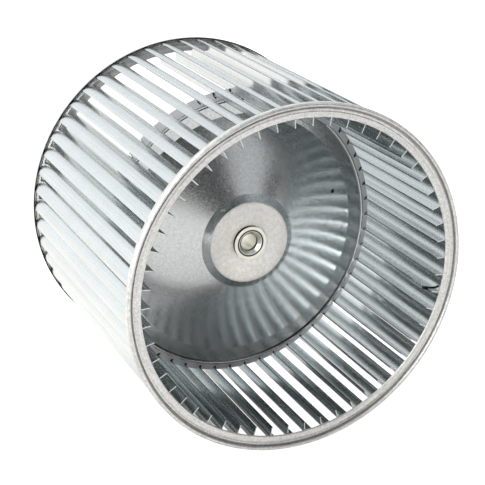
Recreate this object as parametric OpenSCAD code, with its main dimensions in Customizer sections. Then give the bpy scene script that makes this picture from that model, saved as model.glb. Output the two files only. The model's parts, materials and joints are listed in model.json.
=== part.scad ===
// Double-inlet blower wheel with forward-curved blades, the kind that turns in
// the scroll housing of a furnace or an air handler. The wheel spins about the
// Y axis, with its origin on that axis halfway between the two end rings. The
// front inlet faces -Y. Each module is drawn with the wheel's axis along Z and
// the front towards +Z, and on_shaft() then lays it down.

/* [Wheel] */
// Diameter over the rolled rims of the end rings
wheel_d = 241.3; // [241.3:0.1:243]
// Width over the two end rings
wheel_w = 203.2; // [150:0.1:260]

/* [Blades] */
// Number of blades round the wheel
blade_count = 54; // [36:1:54]
// Radius of the blades' inner edges
blade_root_r = 104.4; // [104.2:0.1:104.6]
// Length of the flat, radial part of a blade
blade_flat = 4.6; // [4:0.1:4.8]
// Radius that the rest of the blade is rolled to
blade_arc_r = 10; // [9.6:0.1:10]
// Angle that the roll turns through up to the tip
blade_turn = 98; // [85:1:99]
// Blade sheet thickness
blade_t = 0.6; // [0.5:0.05:0.65]
// Angle of the first blade's root above the horizontal
blade_start = 6.1; // [0:0.1:6.6]

/* [End rings] */
// Ring sheet thickness
ring_t = 0.7; // [0.6:0.05:0.7]
// Radius of the ring's inner lip
ring_inner_r = 110.6; // [110:0.1:111]
// Depth of the lip below the ring's front plane, where the blades end
lip_drop = 2.9; // [2.8:0.05:3]
// Length of the rolled rim along the axis
rim_len = 3.5; // [3.4:0.1:8]

/* [Centre disc] */
// Disc sheet thickness
disc_t = 1.2; // [1:0.1:1.3]
// Height of the flat hub seat above the middle plane
seat_z = 20.7; // [18:0.1:22]
// Radius of the flat hub seat
seat_r = 29.4; // [24:0.1:32]
// Radius where the cone meets the flat outer ring
cone_r = 88.7; // [70:0.1:92]
// Radius of the bead round the fold where the rim turns back
bead_r = 100; // [97:0.1:100.6]

/* [Hub] */
// Radius of the shaft bore, for a 1/2 in shaft
bore_r = 6.35; // [6:0.05:8]
// Length of the hub along the shaft
hub_l = 34.9; // [32:0.1:45]
// Radius of the hub barrel
barrel_r = 14.3; // [13.5:0.1:17]
// Radius of the tapped hole for the set screw
tap_r = 3.97; // [3:0.01:4.5]

/* [Hidden] */
$fn = 96;
wheel_r = wheel_d / 2;
front_z = wheel_w / 2;
pitch = 360 / blade_count;
// Blade ends: inside the lip, under the ring's groove, and on the tip's tab,
// which stands up inside the ring's outer bead
bend_r = blade_root_r + blade_flat;
lip_z = front_z - lip_drop;
under_groove_z = front_z - 4;
tab_z = front_z - 1;
tab_inner_r = 118.8;
tab_outer_r = wheel_r - ring_t - 0.05;
// End ring section, as [radius, depth below the front plane]
lip_bend = 0.8;
face = [114.3, 1.85];
crease = [115, 2.05];
ridge = [115.7, 1.75];
groove_lip = [116.4, 1.85];
groove_side = [116.8, 2.85];
groove_floor = [117.2, 3.15];
groove_far = [117.6, 2.95];
bead_bend = 0.85;
bead_mid_r = 118.75;
bead_end = [119.35, 0.1];
rim_valley = [119.75, 0.4];
rim_ridge = [120.1, 0.32];
rim_bend = 0.85;
// Centre disc section
seat_bend = 1.5;
seat_foot_r = seat_r + 5.4;
seat_foot_z = seat_z - 3.9;
flat_z = 2.6;
bead_h = 0.8;
bead_bend_r = 1.5;
rim_slope = 32;
rim_r = 106.4;
notch_apex_r = 102.8;
notch_w = 1.5;
hub_hole_r = 12.9;
// Punch mark in the cone, at a radius and an angle
punch_r = 1.5;
punch_depth = 0.85;
punch_at = [76.7, 17.2];
// Front end of the hub: a raised rim, a groove and a countersunk bore
hub_front_z = seat_z + 1.8;
hub_rear_z = hub_front_z - hub_l;
spigot_r = 12.2;
groove_inner_r = 8.8;
groove_outer_r = 9.9;
groove_depth = 1.6;
groove_taper = 0.2;
sink_r = 8.4;
sink_depth = 2;
bore_chamfer = 0.5;
barrel_chamfer = 1;
// Set screw, square-headed, along the barrel's +Y radius before it is laid down
screw_z = -5.5;
screw_r = tap_r - 0.05;
screw_point = 1.2;
screw_tip = bore_r + 0.25;
screw_neck = barrel_r + 3.2;
head_w = 7.9;
head_l = 5.6;
// Balance clip, pushed over the inner edge of one blade
clip_blade = 52;
clip_t = 0.8;
clip_l = 14.5;
clip_z = front_z - 10;
clip_turn = 37;
clip_nose_r = 101.4;

function blade_name(i) = str("blade_", i < 10 ? "0" : "", i);

// ---- Sheet sections -------------------------------------------------------

function unit(v) = v / norm(v);
function normal(a, b) = let (d = unit(b - a)) [-d[1], d[0]];

// The point of a path moved to its left by t, square to both neighbours
function shifted(path, i, t) =
    let (
        last = len(path) - 1,
        before = normal(path[max(i, 1) - 1], path[max(i, 1)]),
        after = normal(path[min(i, last - 1)], path[min(i, last - 1) + 1]),
        middle = unit(before + after)
    )
    path[i] + middle * t / (middle * before);

// Points along an arc from angle a to angle b
function arc(centre, r, a, b, steps) =
    [for (i = [0 : steps]) centre + r * [cos(a + (b - a) * i / steps), sin(a + (b - a) * i / steps)]];

// A strip of sheet of thickness t to the left of a path
module sheet(path, t) {
    polygon(concat(path, [for (i = [len(path) - 1 : -1 : 0]) shifted(path, i, t)]));
}

module on_shaft() {
    rotate([90, 0, 0]) children();
}

// ---- Blades ---------------------------------------------------------------

// A band that follows the blade's section, flat and then rolled, with its
// sides at half on either side of the middle of the sheet
module blade_band(start_r, half, turn) {
    reach = 3 * blade_arc_r;
    translate([start_r, -half]) square([bend_r - start_r, 2 * half]);
    translate([bend_r, blade_arc_r])
        intersection() {
            difference() {
                circle(blade_arc_r + half);
                circle(blade_arc_r - half);
            }
            polygon([
                [0, 0],
                [0, -reach],
                reach * [sin(turn / 2), -cos(turn / 2)],
                reach * [sin(turn), -cos(turn)]
            ]);
        }
}

module blade_section() {
    blade_band(blade_root_r, blade_t / 2, blade_turn);
}

module at_blade(i) {
    on_shaft() rotate(blade_start + (i - 1) * pitch) children();
}

module blade(i) {
    color([0.86, 0.87, 0.88])
        at_blade(i)
            union() {
                linear_extrude(2 * under_groove_z, center = true) blade_section();
                linear_extrude(2 * lip_z, center = true)
                    intersection() {
                        blade_section();
                        circle(groove_lip[0] - ring_t);
                    }
                linear_extrude(2 * tab_z, center = true)
                    intersection() {
                        blade_section();
                        difference() {
                            circle(tab_outer_r);
                            circle(tab_inner_r);
                        }
                    }
            }
}

// A hairpin of spring steel with its bend inside the blade's edge
module balance_clip() {
    half = blade_t / 2 + clip_t;
    bend_x = clip_nose_r + half;
    color([0.62, 0.63, 0.63])
        at_blade(clip_blade)
            translate([0, 0, clip_z - clip_l])
                linear_extrude(clip_l)
                    difference() {
                        union() {
                            translate([bend_x, 0]) circle(half);
                            blade_band(bend_x, half, clip_turn);
                        }
                        translate([bend_x, 0]) circle(blade_t / 2);
                        blade_band(bend_x, blade_t / 2, clip_turn + 5);
                    }
}

// ---- End rings ------------------------------------------------------------

// The section runs from the inner lip over the face, down into the groove, up
// over the bead at the front plane and back along the rim
function ring_point(p) = [p[0], -p[1]];
function ring_path() =
    concat(
        [[ring_inner_r, -lip_drop]],
        arc([ring_inner_r + lip_bend, -face[1] - lip_bend], lip_bend, 180, 90, 4),
        [for (p = [face, crease, ridge, groove_lip, groove_side, groove_floor, groove_far]) ring_point(p)],
        arc([bead_mid_r, -bead_bend], bead_bend, 180, 90, 4),
        [for (p = [bead_end, rim_valley, rim_ridge]) ring_point(p)],
        arc([wheel_r - rim_bend, -rim_ridge[1] - rim_bend], rim_bend, 45, 0, 2),
        [[wheel_r, -rim_len]]
    );

module end_ring() {
    color([0.74, 0.74, 0.73])
        rotate_extrude() sheet(ring_path(), -ring_t);
}

module front_end_ring() {
    on_shaft() translate([0, 0, front_z]) end_ring();
}

module rear_end_ring() {
    on_shaft() mirror([0, 0, 1]) translate([0, 0, front_z]) end_ring();
}

// ---- Centre disc ----------------------------------------------------------

// From the hub's hole over the seat, down the cone and the flat, over the bead
// and back along the notched rim
function disc_path() =
    let (
        flank = atan2(seat_z - seat_foot_z, seat_foot_r - seat_r),
        bead_mid = [bead_r, flat_z + bead_h - bead_bend_r],
        bead_out = bead_mid + bead_bend_r * [sin(rim_slope), cos(rim_slope)]
    )
    concat(
        [[hub_hole_r, seat_z]],
        arc([seat_r - seat_bend / 2, seat_z - seat_bend], seat_bend, 90, 90 - flank, 3),
        [
            [seat_foot_r, seat_foot_z],
            [cone_r, flat_z],
            [bead_r - 1.2 * bead_bend_r, flat_z]
        ],
        arc(bead_mid, bead_bend_r, 135, 90 - rim_slope, 5),
        [[rim_r, bead_out[1] - (rim_r - bead_out[0]) * tan(rim_slope)]]
    );

module centre_disc() {
    color([0.5, 0.52, 0.53])
        on_shaft()
            difference() {
                rotate_extrude() sheet(disc_path(), -disc_t);
                for (i = [1 : blade_count]) blade_notch(i);
                punch_mark();
            }
}

// A blind round mark, square to the cone
module punch_mark() {
    slope = (seat_foot_z - flat_z) / (cone_r - seat_foot_r);
    rotate(punch_at[1])
        translate([punch_at[0], 0, flat_z + slope * (cone_r - punch_at[0])])
            rotate([0, atan(slope), 0])
                translate([0, 0, -punch_depth])
                    cylinder(r = punch_r, h = 3 * punch_depth);
}

// The front of each blade bears on the straight side of its notch
module blade_notch(i) {
    front = blade_t / 2;
    rotate(blade_start + (i - 1) * pitch)
        translate([0, 0, -flat_z - disc_t])
            linear_extrude(3 * flat_z + disc_t)
                polygon([
                    [notch_apex_r, -blade_t],
                    [blade_root_r, front],
                    [rim_r + 1, front],
                    [rim_r + 1, -notch_w]
                ]);
}

// ---- Hub and its screw ----------------------------------------------------

module hub() {
    shoulder_z = seat_z - disc_t;
    color([0.66, 0.66, 0.64])
        on_shaft()
            difference() {
                rotate_extrude()
                    polygon([
                        [bore_r, hub_rear_z + bore_chamfer],
                        [bore_r + bore_chamfer, hub_rear_z],
                        [barrel_r - barrel_chamfer, hub_rear_z],
                        [barrel_r, hub_rear_z + barrel_chamfer],
                        [barrel_r, shoulder_z],
                        [spigot_r, shoulder_z],
                        [spigot_r, hub_front_z],
                        [groove_outer_r, hub_front_z],
                        [groove_outer_r - groove_taper, hub_front_z - groove_depth],
                        [groove_inner_r + groove_taper, hub_front_z - groove_depth],
                        [groove_inner_r, hub_front_z],
                        [sink_r, hub_front_z],
                        [bore_r, hub_front_z - sink_depth]
                    ]);
                translate([0, 0, screw_z]) rotate([-90, 0, 0]) cylinder(r = tap_r, h = barrel_r + 1);
            }
}

module set_screw() {
    point_r = screw_r - screw_point;
    color([0.25, 0.25, 0.26])
        on_shaft()
            translate([0, 0, screw_z])
                rotate([-90, 0, 0])
                    union() {
                        translate([0, 0, screw_tip]) cylinder(r1 = point_r, r2 = screw_r, h = screw_point);
                        translate([0, 0, screw_tip + screw_point])
                            cylinder(r = screw_r, h = screw_neck - screw_tip - screw_point);
                        translate([-head_w / 2, -head_w / 2, screw_neck]) cube([head_w, head_w, head_l]);
                    }
}

// ---- Nodes ----------------------------------------------------------------

for (i = [1 : blade_count]) blade(i);
front_end_ring();
rear_end_ring();
centre_disc();
hub();
set_screw();
balance_clip();
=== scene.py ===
"""Looks, light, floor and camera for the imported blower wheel, which lies with its shaft along Y."""

import json
import math

import bpy
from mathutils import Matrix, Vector

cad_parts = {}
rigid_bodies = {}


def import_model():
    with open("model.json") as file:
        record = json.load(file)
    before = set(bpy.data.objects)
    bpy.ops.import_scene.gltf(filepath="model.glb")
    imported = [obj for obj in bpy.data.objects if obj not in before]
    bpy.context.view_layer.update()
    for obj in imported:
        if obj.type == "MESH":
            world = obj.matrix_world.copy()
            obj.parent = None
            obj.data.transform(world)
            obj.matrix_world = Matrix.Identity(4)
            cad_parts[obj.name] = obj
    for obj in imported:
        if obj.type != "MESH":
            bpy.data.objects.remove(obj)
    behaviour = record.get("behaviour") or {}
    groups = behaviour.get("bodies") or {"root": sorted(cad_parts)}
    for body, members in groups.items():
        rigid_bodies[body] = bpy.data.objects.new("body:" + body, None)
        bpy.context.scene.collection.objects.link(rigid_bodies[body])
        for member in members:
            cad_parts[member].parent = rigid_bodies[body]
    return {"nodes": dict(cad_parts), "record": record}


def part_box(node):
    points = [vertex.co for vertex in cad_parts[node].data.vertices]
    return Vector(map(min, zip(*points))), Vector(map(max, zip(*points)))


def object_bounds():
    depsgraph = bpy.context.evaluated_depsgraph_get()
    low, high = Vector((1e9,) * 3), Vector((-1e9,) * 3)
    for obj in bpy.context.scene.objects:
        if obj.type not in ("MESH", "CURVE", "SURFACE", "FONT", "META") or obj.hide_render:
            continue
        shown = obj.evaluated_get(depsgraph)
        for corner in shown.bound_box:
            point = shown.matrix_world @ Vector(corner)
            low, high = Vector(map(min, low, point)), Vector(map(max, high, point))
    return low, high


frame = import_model()
cad_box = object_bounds()

MM = 0.001

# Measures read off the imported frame
wheel_low, wheel_high = (Vector(corner) for corner in cad_box)
WHEEL_R = (wheel_high.x - wheel_low.x) / 2
HALF_W = (wheel_high.y - wheel_low.y) / 2
HUB_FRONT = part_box("hub")[0][1]
CLIP_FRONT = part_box("balance_clip")[0][1]
BLADE_PITCH = 2 * math.pi / sum(name.startswith("blade_") for name in frame["nodes"])

# The design's own radii and places, for painted shade and finishes that follow its features
BLADE_ROOT_R = 104.4 * MM
BLADE_START = math.radians(6.1)
SEAT_R = 29.4 * MM
BEAD_R = 100 * MM
GROOVE_R = 9.35 * MM
HUB_NOSE_R = 12.2 * MM
BORE_R = 6.35 * MM
PUNCH_R = 1.5 * MM
PUNCH_PLACE = (0.0733, -0.0058, 0.0227)


# ---- Camera ---------------------------------------------------------------

CAMERA_AZIMUTH = math.radians(24.7)
CAMERA_ELEVATION = math.radians(21.4)
CAMERA_DISTANCE = 0.9513
CAMERA_AIM = Vector((0.0016, -0.00535, -0.00575))
CAMERA_LENS = 99.2
CAMERA_SENSOR = 36


def make_camera():
    """Looks down the front inlet from the left and above."""
    forward = Vector((
        math.sin(CAMERA_AZIMUTH) * math.cos(CAMERA_ELEVATION),
        math.cos(CAMERA_AZIMUTH) * math.cos(CAMERA_ELEVATION),
        -math.sin(CAMERA_ELEVATION),
    ))
    data = bpy.data.cameras.new("camera")
    data.lens = CAMERA_LENS
    data.sensor_width = CAMERA_SENSOR
    camera = bpy.data.objects.new("camera", data)
    camera.location = CAMERA_AIM - forward * CAMERA_DISTANCE
    camera.rotation_mode = "QUATERNION"
    camera.rotation_quaternion = forward.to_track_quat("-Z", "Y")
    bpy.context.scene.collection.objects.link(camera)
    bpy.context.scene.camera = camera


# ---- Node trees -----------------------------------------------------------

# Noise mostly lies between these two, so stretching them to 0 and 1 makes a grain that shows
NOISE_LOW = 0.3
NOISE_HIGH = 0.7


class Tree:
    """A short way to write the nodes of a material or a world."""

    def __init__(self, node_tree):
        self.nodes = node_tree.nodes
        self.links = node_tree.links

    def put(self, value, socket):
        """Links another node's socket, or sets a plain value."""
        if isinstance(value, bpy.types.NodeSocket):
            self.links.new(value, socket)
        else:
            socket.default_value = value

    def add(self, kind, values=(), **settings):
        node = self.nodes.new(kind)
        for key, value in settings.items():
            setattr(node, key, value)
        for key, value in dict(values).items():
            self.put(value, node.inputs[key])
        return node

    def math(self, operation, *values):
        return self.add("ShaderNodeMath", enumerate(values), operation=operation).outputs[0]

    def plus(self, a, b):
        return self.math("ADD", a, b)

    def minus(self, a, b):
        return self.math("SUBTRACT", a, b)

    def times(self, a, b):
        return self.math("MULTIPLY", a, b)

    def larger(self, a, b):
        return self.math("MAXIMUM", a, b)

    def above(self, value, limit):
        return self.math("GREATER_THAN", value, limit)

    def below(self, value, limit):
        return self.math("LESS_THAN", value, limit)

    def between(self, value, low, high):
        """1 from low to high and 0 outside."""
        return self.times(self.above(value, low), self.below(value, high))

    def size(self, value):
        """The value without its sign."""
        return self.math("ABSOLUTE", value)

    def remap(self, value, low, high):
        """Turns 0 to 1 into low to high."""
        values = {"Value": value, "To Min": low, "To Max": high}
        return self.add("ShaderNodeMapRange", values).outputs[0]

    def step(self, value, start, end, low=0.0, high=1.0):
        """low before start, high after end, smooth between."""
        values = {"Value": value, "From Min": start, "From Max": end, "To Min": low, "To Max": high}
        return self.add("ShaderNodeMapRange", values, interpolation_type="SMOOTHSTEP").outputs[0]

    def band(self, value, rise, fall):
        """0, then up to 1 over the rise, and down to 0 again over the fall."""
        fall_start, fall_end = fall
        return self.times(self.step(value, *rise), self.step(value, fall_end, fall_start))

    def blend(self, *terms):
        """The weighted sum of (socket, weight) pairs."""
        total = None
        for socket, weight in terms:
            part = self.times(socket, weight)
            total = part if total is None else self.plus(total, part)
        return total

    def mix(self, factor, a, b):
        """The colour a where the factor is 0, and b where it is 1."""
        node = self.add("ShaderNodeMix", data_type="RGBA")
        colours = [socket for socket in node.inputs if socket.type == "RGBA"]
        self.put(factor, node.inputs[0])
        self.put(a, colours[0])
        self.put(b, colours[1])
        return next(socket for socket in node.outputs if socket.type == "RGBA")

    def split(self, vector):
        return self.add("ShaderNodeSeparateXYZ", {"Vector": vector}).outputs

    def scaled(self, parts, scales):
        """Three parts of a place made into one, each with its own scale, for marks that run one way."""
        values = (self.times(part, scale) for part, scale in zip(parts, scales))
        return self.add("ShaderNodeCombineXYZ", enumerate(values)).outputs[0]

    def seen_by_camera(self):
        return self.add("ShaderNodeLightPath").outputs["Is Camera Ray"]


class Surface(Tree):
    """A material with one Principled shader."""

    def __init__(self, name):
        self.material = bpy.data.materials.new(name)
        self.material.use_nodes = True
        super().__init__(self.material.node_tree)
        self.nodes.clear()
        output = self.nodes.new("ShaderNodeOutputMaterial")
        self.shader = self.nodes.new("ShaderNodeBsdfPrincipled")
        self.links.new(self.shader.outputs["BSDF"], output.inputs["Surface"])

    def feed(self, name, value):
        self.put(value, self.shader.inputs[name])

    def bump(self, height, distance):
        values = {"Height": height, "Distance": distance, "Strength": 1.0}
        self.feed("Normal", self.add("ShaderNodeBump", values).outputs[0])

    def position(self):
        return self.add("ShaderNodeTexCoord").outputs["Object"]

    def wheel_place(self):
        """Radius from the wheel's axis in metres, angle round it in radians, metres along it."""
        x, y, z = self.split(self.position())
        radius = self.math("SQRT", self.plus(self.times(x, x), self.times(z, z)))
        return radius, self.math("ARCTAN2", z, x), y

    def noise(self, vector, scale, detail=2.0):
        values = {"Vector": vector, "Scale": scale, "Detail": detail}
        return self.add("ShaderNodeTexNoise", values).outputs["Fac"]

    def grain(self, vector, scale, detail=2.0):
        """Noise stretched to its full range."""
        return self.step(self.noise(vector, scale, detail), NOISE_LOW, NOISE_HIGH)


# ---- Metals ---------------------------------------------------------------

# Noise scales, in cells for each metre
FINE = 2200
GRAIN = 900
COARSE = 420
BLADE_CLOUDS = 60
DISC_CLOUDS = 45

# Marks along X, Y and Z, and marks by radius, angle and depth
BLADE_MARKS = (900, 9, 900)
RING_LINES = (1300, 5, 1300)
DISC_LINES = (900, 2, 0)
LATHE_LINES = (3500, 2, 1500)

BLADE_DARK = (0.565, 0.605, 0.615, 1)
BLADE_LIGHT = (0.765, 0.80, 0.805, 1)
BLADE_ROUGH = (0.20, 0.31)
# Painted shade along each blade's root
ROOT_GAP_SHADE = (0.12, 0.13, 0.13, 1)

RING_DARK = (0.52, 0.525, 0.515, 1)
RING_LIGHT = (0.97, 0.97, 0.955, 1)
RING_ROUGH = (0.30, 0.50)
RING_GROOVE_RISE = (116.4 * MM, 116.9 * MM)
RING_GROOVE_FALL = (117.8 * MM, 118.2 * MM)
RING_RIM_W = 3.46 * MM
# Painted shade at the bottom of the ring's groove
RING_GROOVE_SHADE = (0.17, 0.175, 0.17, 1)
RING_GROOVE_SHADE_SHARE = 0.32
# Painted shade: the rim's cut edge is made black
RING_CUT_SHADE = (0.015, 0.016, 0.016, 1)

DISC_DARK = (0.455, 0.48, 0.49, 1)
DISC_LIGHT = (0.745, 0.775, 0.785, 1)
DISC_ROUGH = (0.155, 0.255)
SEAT_DARK = (0.80, 0.79, 0.765, 1)
SEAT_LIGHT = (1.0, 0.995, 0.975, 1)
RIM_PALE = (0.93, 0.93, 0.95, 1)
# Added to the disc's roughness on its seat and rim
DULL_ROUGH = 0.45
# Painted shade in the fold inside the bead and at the notches
FOLD_RISE = (BEAD_R - 2.3 * MM, BEAD_R - 1.7 * MM)
FOLD_FALL = (BEAD_R - 1.1 * MM, BEAD_R - 0.7 * MM)
FOLD_SHADE_SHARE = 0.8
NOTCH_APEX_R = BEAD_R + 1.9 * MM
NOTCH_SLOPE = 0.6
NOTCH_HALF_W = 1.1 * MM
# Colour of the disc's painted shade
DISC_SHADE = (0.04, 0.045, 0.045, 1)

HUB_DARK = (0.62, 0.62, 0.56, 1)
HUB_LIGHT = (0.96, 0.95, 0.86, 1)
OXIDE_DARK = (0.05, 0.05, 0.055, 1)
OXIDE_LIGHT = (0.13, 0.13, 0.14, 1)
CLIP_DARK = (0.66, 0.68, 0.70, 1)
CLIP_LIGHT = (0.86, 0.88, 0.90, 1)
# Painted shade on turned parts: the hub's groove, gap and bore mouth, and the clip's front end
TURNED_SHADE = (0.03, 0.033, 0.033, 1)


def blade_sheet():
    """Bright galvanised strip with faint rolling marks along its length and painted shade along its
    root.
    """
    surface = Surface("blade_sheet")
    surface.feed("Metallic", 1.0)
    place = surface.position()
    marks = surface.grain(surface.scaled(surface.split(place), BLADE_MARKS), 1.0)
    grain = surface.grain(place, GRAIN)
    clouds = surface.noise(place, BLADE_CLOUDS)
    tone = surface.blend((marks, 0.35), (grain, 0.25), (clouds, 0.4))
    metal = surface.mix(tone, BLADE_DARK, BLADE_LIGHT)
    radius = surface.wheel_place()[0]
    # Painted shade along the root, where the gaps between blades fall dark
    root = surface.step(radius, BLADE_ROOT_R + 0.45 * MM, BLADE_ROOT_R + 0.2 * MM)
    surface.feed("Base Color", surface.mix(root, metal, ROOT_GAP_SHADE))
    surface.feed("Roughness", surface.remap(tone, *BLADE_ROUGH))
    surface.bump(surface.plus(marks, grain), 0.003 * MM)
    return surface.material


def ring_sheet():
    """Satin sheet brushed round the ring by its rolling, with painted shade in the groove and a cut
    edge painted black as shade.
    """
    surface = Surface("ring_sheet")
    surface.feed("Metallic", 1.0)
    radius, angle, depth = surface.wheel_place()
    place = surface.position()
    lines = surface.grain(surface.scaled((radius, angle, depth), RING_LINES), 1.0)
    grain = surface.grain(place, GRAIN, 3.0)
    coarse = surface.grain(place, COARSE)
    tone = surface.blend((lines, 0.35), (grain, 0.35), (coarse, 0.3))
    metal = surface.mix(tone, RING_DARK, RING_LIGHT)
    # Painted shade darkens the bottom of the groove in the ring's face
    from_middle = surface.size(depth)
    sunk = surface.step(from_middle, HALF_W - 0.6 * MM, HALF_W - 1.8 * MM)
    groove = surface.times(surface.band(radius, RING_GROOVE_RISE, RING_GROOVE_FALL), sunk)
    metal = surface.mix(surface.times(groove, RING_GROOVE_SHADE_SHARE), metal, RING_GROOVE_SHADE)
    # The rolled rim ends in a cut edge on the wheel's outside, painted black as shade
    rim_end = surface.below(from_middle, HALF_W - RING_RIM_W)
    outside = surface.above(radius, WHEEL_R - 1.0 * MM)
    surface.feed("Base Color", surface.mix(surface.times(rim_end, outside), metal, RING_CUT_SHADE))
    surface.feed("Roughness", surface.remap(tone, *RING_ROUGH))
    surface.bump(tone, 0.05 * MM)
    return surface.material


def notch_shade(surface, radius, angle):
    """A small dark wedge of painted shade on the disc's rim at the apex of each blade's notch."""
    turn = surface.math("DIVIDE", surface.minus(angle, BLADE_START), BLADE_PITCH)
    off_centre = surface.size(surface.minus(surface.math("FRACT", surface.plus(turn, 0.5)), 0.5))
    beside = surface.times(surface.times(off_centre, BLADE_PITCH), radius)
    half_width = surface.times(surface.minus(radius, NOTCH_APEX_R), NOTCH_SLOPE)
    return surface.below(beside, surface.math("MINIMUM", half_width, NOTCH_HALF_W))


def disc_shade(surface, radius, angle):
    """Painted shade in the fold inside the bead, in the punch mark and at the notches."""
    fold = surface.times(surface.band(radius, FOLD_RISE, FOLD_FALL), FOLD_SHADE_SHARE)
    values = {0: surface.position(), 1: PUNCH_PLACE}
    away = surface.add("ShaderNodeVectorMath", values, operation="DISTANCE").outputs["Value"]
    # Painted shade in the punch mark's recess
    punched = surface.step(away, PUNCH_R + 0.25 * MM, PUNCH_R)
    return surface.larger(surface.larger(fold, punched), notch_shade(surface, radius, angle))


def disc_sheet():
    """Glossy pressed sheet with a fine grain; the hub seat is blasted to a pale matte finish."""
    surface = Surface("disc_sheet")
    surface.feed("Metallic", 1.0)
    radius, angle, depth = surface.wheel_place()
    place = surface.position()
    lines = surface.noise(surface.scaled((radius, angle, depth), DISC_LINES), 1.0)
    clouds = surface.noise(place, DISC_CLOUDS)
    grain = surface.grain(place, GRAIN, 3.0)
    coarse = surface.grain(place, COARSE)
    tone = surface.blend((lines, 0.15), (clouds, 0.25), (grain, 0.42), (coarse, 0.18))
    pressed = surface.mix(tone, DISC_DARK, DISC_LIGHT)
    mottle = surface.blend((grain, 0.5), (coarse, 0.5))
    blasted = surface.mix(mottle, SEAT_DARK, SEAT_LIGHT)
    seat = surface.step(radius, SEAT_R + 0.5 * MM, SEAT_R)
    metal = surface.mix(seat, pressed, blasted)
    # The sheared rim beyond the bead is duller and paler than the pressed face
    rim = surface.step(radius, BEAD_R + 0.6 * MM, BEAD_R + 1.2 * MM)
    metal = surface.mix(rim, metal, RIM_PALE)
    # Painted shade darkens the fold inside the bead, the punch mark and the notches
    surface.feed("Base Color", surface.mix(disc_shade(surface, radius, angle), metal, DISC_SHADE))
    dull = surface.times(surface.larger(seat, rim), DULL_ROUGH)
    surface.feed("Roughness", surface.plus(surface.remap(tone, *DISC_ROUGH), dull))
    surface.bump(surface.times(grain, surface.remap(seat, 0.1, 1.0)), 0.08 * MM)
    return surface.material


def turned_steel(name, dark, light, rough, shade_mask=None):
    """Metal turned on a lathe about the wheel's axis; the optional mask maker gives its black places of
    painted shade.
    """
    surface = Surface(name)
    surface.feed("Metallic", 1.0)
    radius, angle, depth = surface.wheel_place()
    lines = surface.noise(surface.scaled((radius, angle, depth), LATHE_LINES), 1.0)
    grain = surface.noise(surface.position(), FINE)
    tone = surface.blend((lines, 0.6), (grain, 0.4))
    metal = surface.mix(tone, dark, light)
    # Painted shade: the mask's places are made black
    if shade_mask:
        metal = surface.mix(shade_mask(surface, radius, depth), metal, TURNED_SHADE)
    surface.feed("Base Color", metal)
    surface.feed("Roughness", surface.remap(tone, *rough))
    surface.bump(tone, 0.03 * MM)
    return surface.material


def hub_shade(surface, radius, depth):
    """Painted shade: black in the groove, in the gap round the hub and just inside the bore's mouth."""
    groove = surface.between(radius, GROOVE_R - 0.6 * MM, GROOVE_R + 0.65 * MM)
    gap = surface.between(radius, HUB_NOSE_R - 0.08 * MM, HUB_NOSE_R + 1.2 * MM)
    sunk = surface.between(depth, HUB_FRONT + 0.15 * MM, HUB_FRONT + 2.5 * MM)
    wall = surface.below(radius, BORE_R + 0.1 * MM)
    mouth = surface.between(depth, HUB_FRONT + 2.1 * MM, HUB_FRONT + 4.6 * MM)
    low = surface.times(surface.larger(groove, gap), sunk)
    return surface.larger(low, surface.times(wall, mouth))


def clip_end_shade(surface, radius, depth):
    """The clip's sheared front end, painted black as shade."""
    return surface.below(depth, CLIP_FRONT + 0.35 * MM)


def make_materials():
    return {
        "blade_sheet": blade_sheet(),
        "ring_sheet": ring_sheet(),
        "disc_sheet": disc_sheet(),
        "hub_steel": turned_steel("hub_steel", HUB_DARK, HUB_LIGHT, (0.22, 0.40), hub_shade),
        "screw_steel": turned_steel("screw_steel", OXIDE_DARK, OXIDE_LIGHT, (0.32, 0.50)),
        "clip_steel": turned_steel("clip_steel", CLIP_DARK, CLIP_LIGHT, (0.20, 0.34), clip_end_shade),
    }


def paint_nodes(materials):
    """Gives each CAD node the material of its slot in the record."""
    for part in frame["record"]["subparts"]:
        node = bpy.data.objects[part["node"]]
        node.data.materials.clear()
        node.data.materials.append(materials[part["material_slot"]])


# ---- Floor ----------------------------------------------------------------

FLOOR_HALF = 6
FLOOR_GREY = (0.55, 0.55, 0.55, 1)
FLOOR_WARM = (1, 0.95, 0.885, 1)
FLOOR_WHITE = (1, 1, 1, 1)
FLOOR_ROUGH = 0.9
FRONT_GLOW = 0.44
BACK_GLOW = 0.72
BACK_START = -0.01
BACK_END = 0.10
# The shade under the wheel's front half: how far out it fades, and how much faster each way
SHADE_GLOW = 0.06
SHADE_INNER = 0.085
SHADE_OUTER = 0.13
SHADE_MIDDLE = -0.05
SHADE_ACROSS = 1.3
SHADE_ALONG = 2.1


def floor_finish():
    """White to the camera; in reflections it glows, less so in the wheel's shade."""
    surface = Surface("floor")
    surface.feed("Base Color", FLOOR_GREY)
    surface.feed("Roughness", FLOOR_ROUGH)
    seen = surface.seen_by_camera()
    surface.feed("Emission Color", surface.mix(seen, FLOOR_WARM, FLOOR_WHITE))
    x, y, z = surface.split(surface.position())
    across = surface.times(surface.size(x), SHADE_ACROSS)
    along = surface.times(surface.size(surface.minus(y, SHADE_MIDDLE)), SHADE_ALONG)
    away = surface.larger(across, along)
    open_glow = surface.step(y, BACK_START, BACK_END, FRONT_GLOW, BACK_GLOW)
    glow = surface.step(away, SHADE_INNER, SHADE_OUTER, SHADE_GLOW, open_glow)
    surface.feed("Emission Strength", surface.larger(glow, seen))
    return surface.material


def make_floor():
    """A wide square at the wheel's lowest point."""
    signs = [(-1, -1), (1, -1), (1, 1), (-1, 1)]
    corners = [(x * FLOOR_HALF, y * FLOOR_HALF, wheel_low.z) for x, y in signs]
    mesh = bpy.data.meshes.new("floor")
    mesh.from_pydata(corners, [], [(0, 1, 2, 3)])
    mesh.materials.append(floor_finish())
    floor = bpy.data.objects.new("floor", mesh)
    bpy.context.scene.collection.objects.link(floor)


# ---- Light ----------------------------------------------------------------

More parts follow.
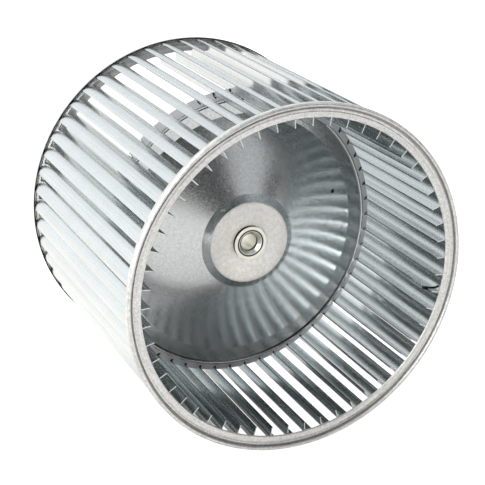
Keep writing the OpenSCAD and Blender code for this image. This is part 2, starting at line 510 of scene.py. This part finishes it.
ROOM_TONE = 0.05
SWEEP_TONE = 1.10
SWEEP_START = -0.20
SWEEP_END = 0.55
SWEEP_LIFT = 0.7
SIDE_SLOPE = 0.3
SKY_COLOUR = (0.98, 0.99, 1, 1)
CAMERA_WHITE = 1.1


def make_world():
    """Dark on the camera's side, a white sweep behind and overhead, brighter to the left."""
    world = bpy.data.worlds.new("world")
    world.use_nodes = True
    tree = Tree(world.node_tree)
    x, y, z = tree.split(tree.add("ShaderNodeTexCoord").outputs["Generated"])
    lifted = tree.math("MULTIPLY_ADD", z, SWEEP_LIFT, y)
    sweep = tree.step(lifted, SWEEP_START, SWEEP_END, ROOM_TONE, SWEEP_TONE)
    sided = tree.times(sweep, tree.math("MULTIPLY_ADD", x, -SIDE_SLOPE, 1))
    # The camera itself sees plain white all round
    white = tree.times(tree.seen_by_camera(), CAMERA_WHITE)
    background = tree.nodes["Background"]
    tree.put(tree.larger(sided, white), background.inputs["Strength"])
    tree.put(SKY_COLOUR, background.inputs["Color"])
    bpy.context.scene.world = world


def make_light(name, place, size, power, aim=(0, 0, 0), spread=180):
    data = bpy.data.lights.new(name, "AREA")
    data.shape = "RECTANGLE"
    data.size, data.size_y = size
    data.energy = power
    data.spread = math.radians(spread)
    light = bpy.data.objects.new(name, data)
    light.location = place
    light.rotation_mode = "QUATERNION"
    light.rotation_quaternion = (Vector(aim) - Vector(place)).to_track_quat("-Z", "Y")
    bpy.context.scene.collection.objects.link(light)


def make_lights():
    """Two soft lamps on the left, a weak panel in front, and a narrow lamp on the hub's seat."""
    make_light("key", place=(-1.5, -1.1, 1.3), size=(1.2, 1.2), power=19)
    make_light("fill", place=(-1.6, -1.1, 0.45), size=(0.8, 0.7), power=11)
    make_light("panel", place=(0.80, -1.7, 0.35), size=(0.6, 0.9), power=1.1)
    make_light(
        "hub_light",
        place=(-0.3, -1.2, 0.45),
        size=(0.03, 0.03),
        power=0.006,
        aim=(0, HUB_FRONT, 0),
        spread=3,
    )


make_camera()
paint_nodes(make_materials())
make_floor()
make_world()
make_lights()

bpy.context.scene.view_settings.view_transform = "Standard"
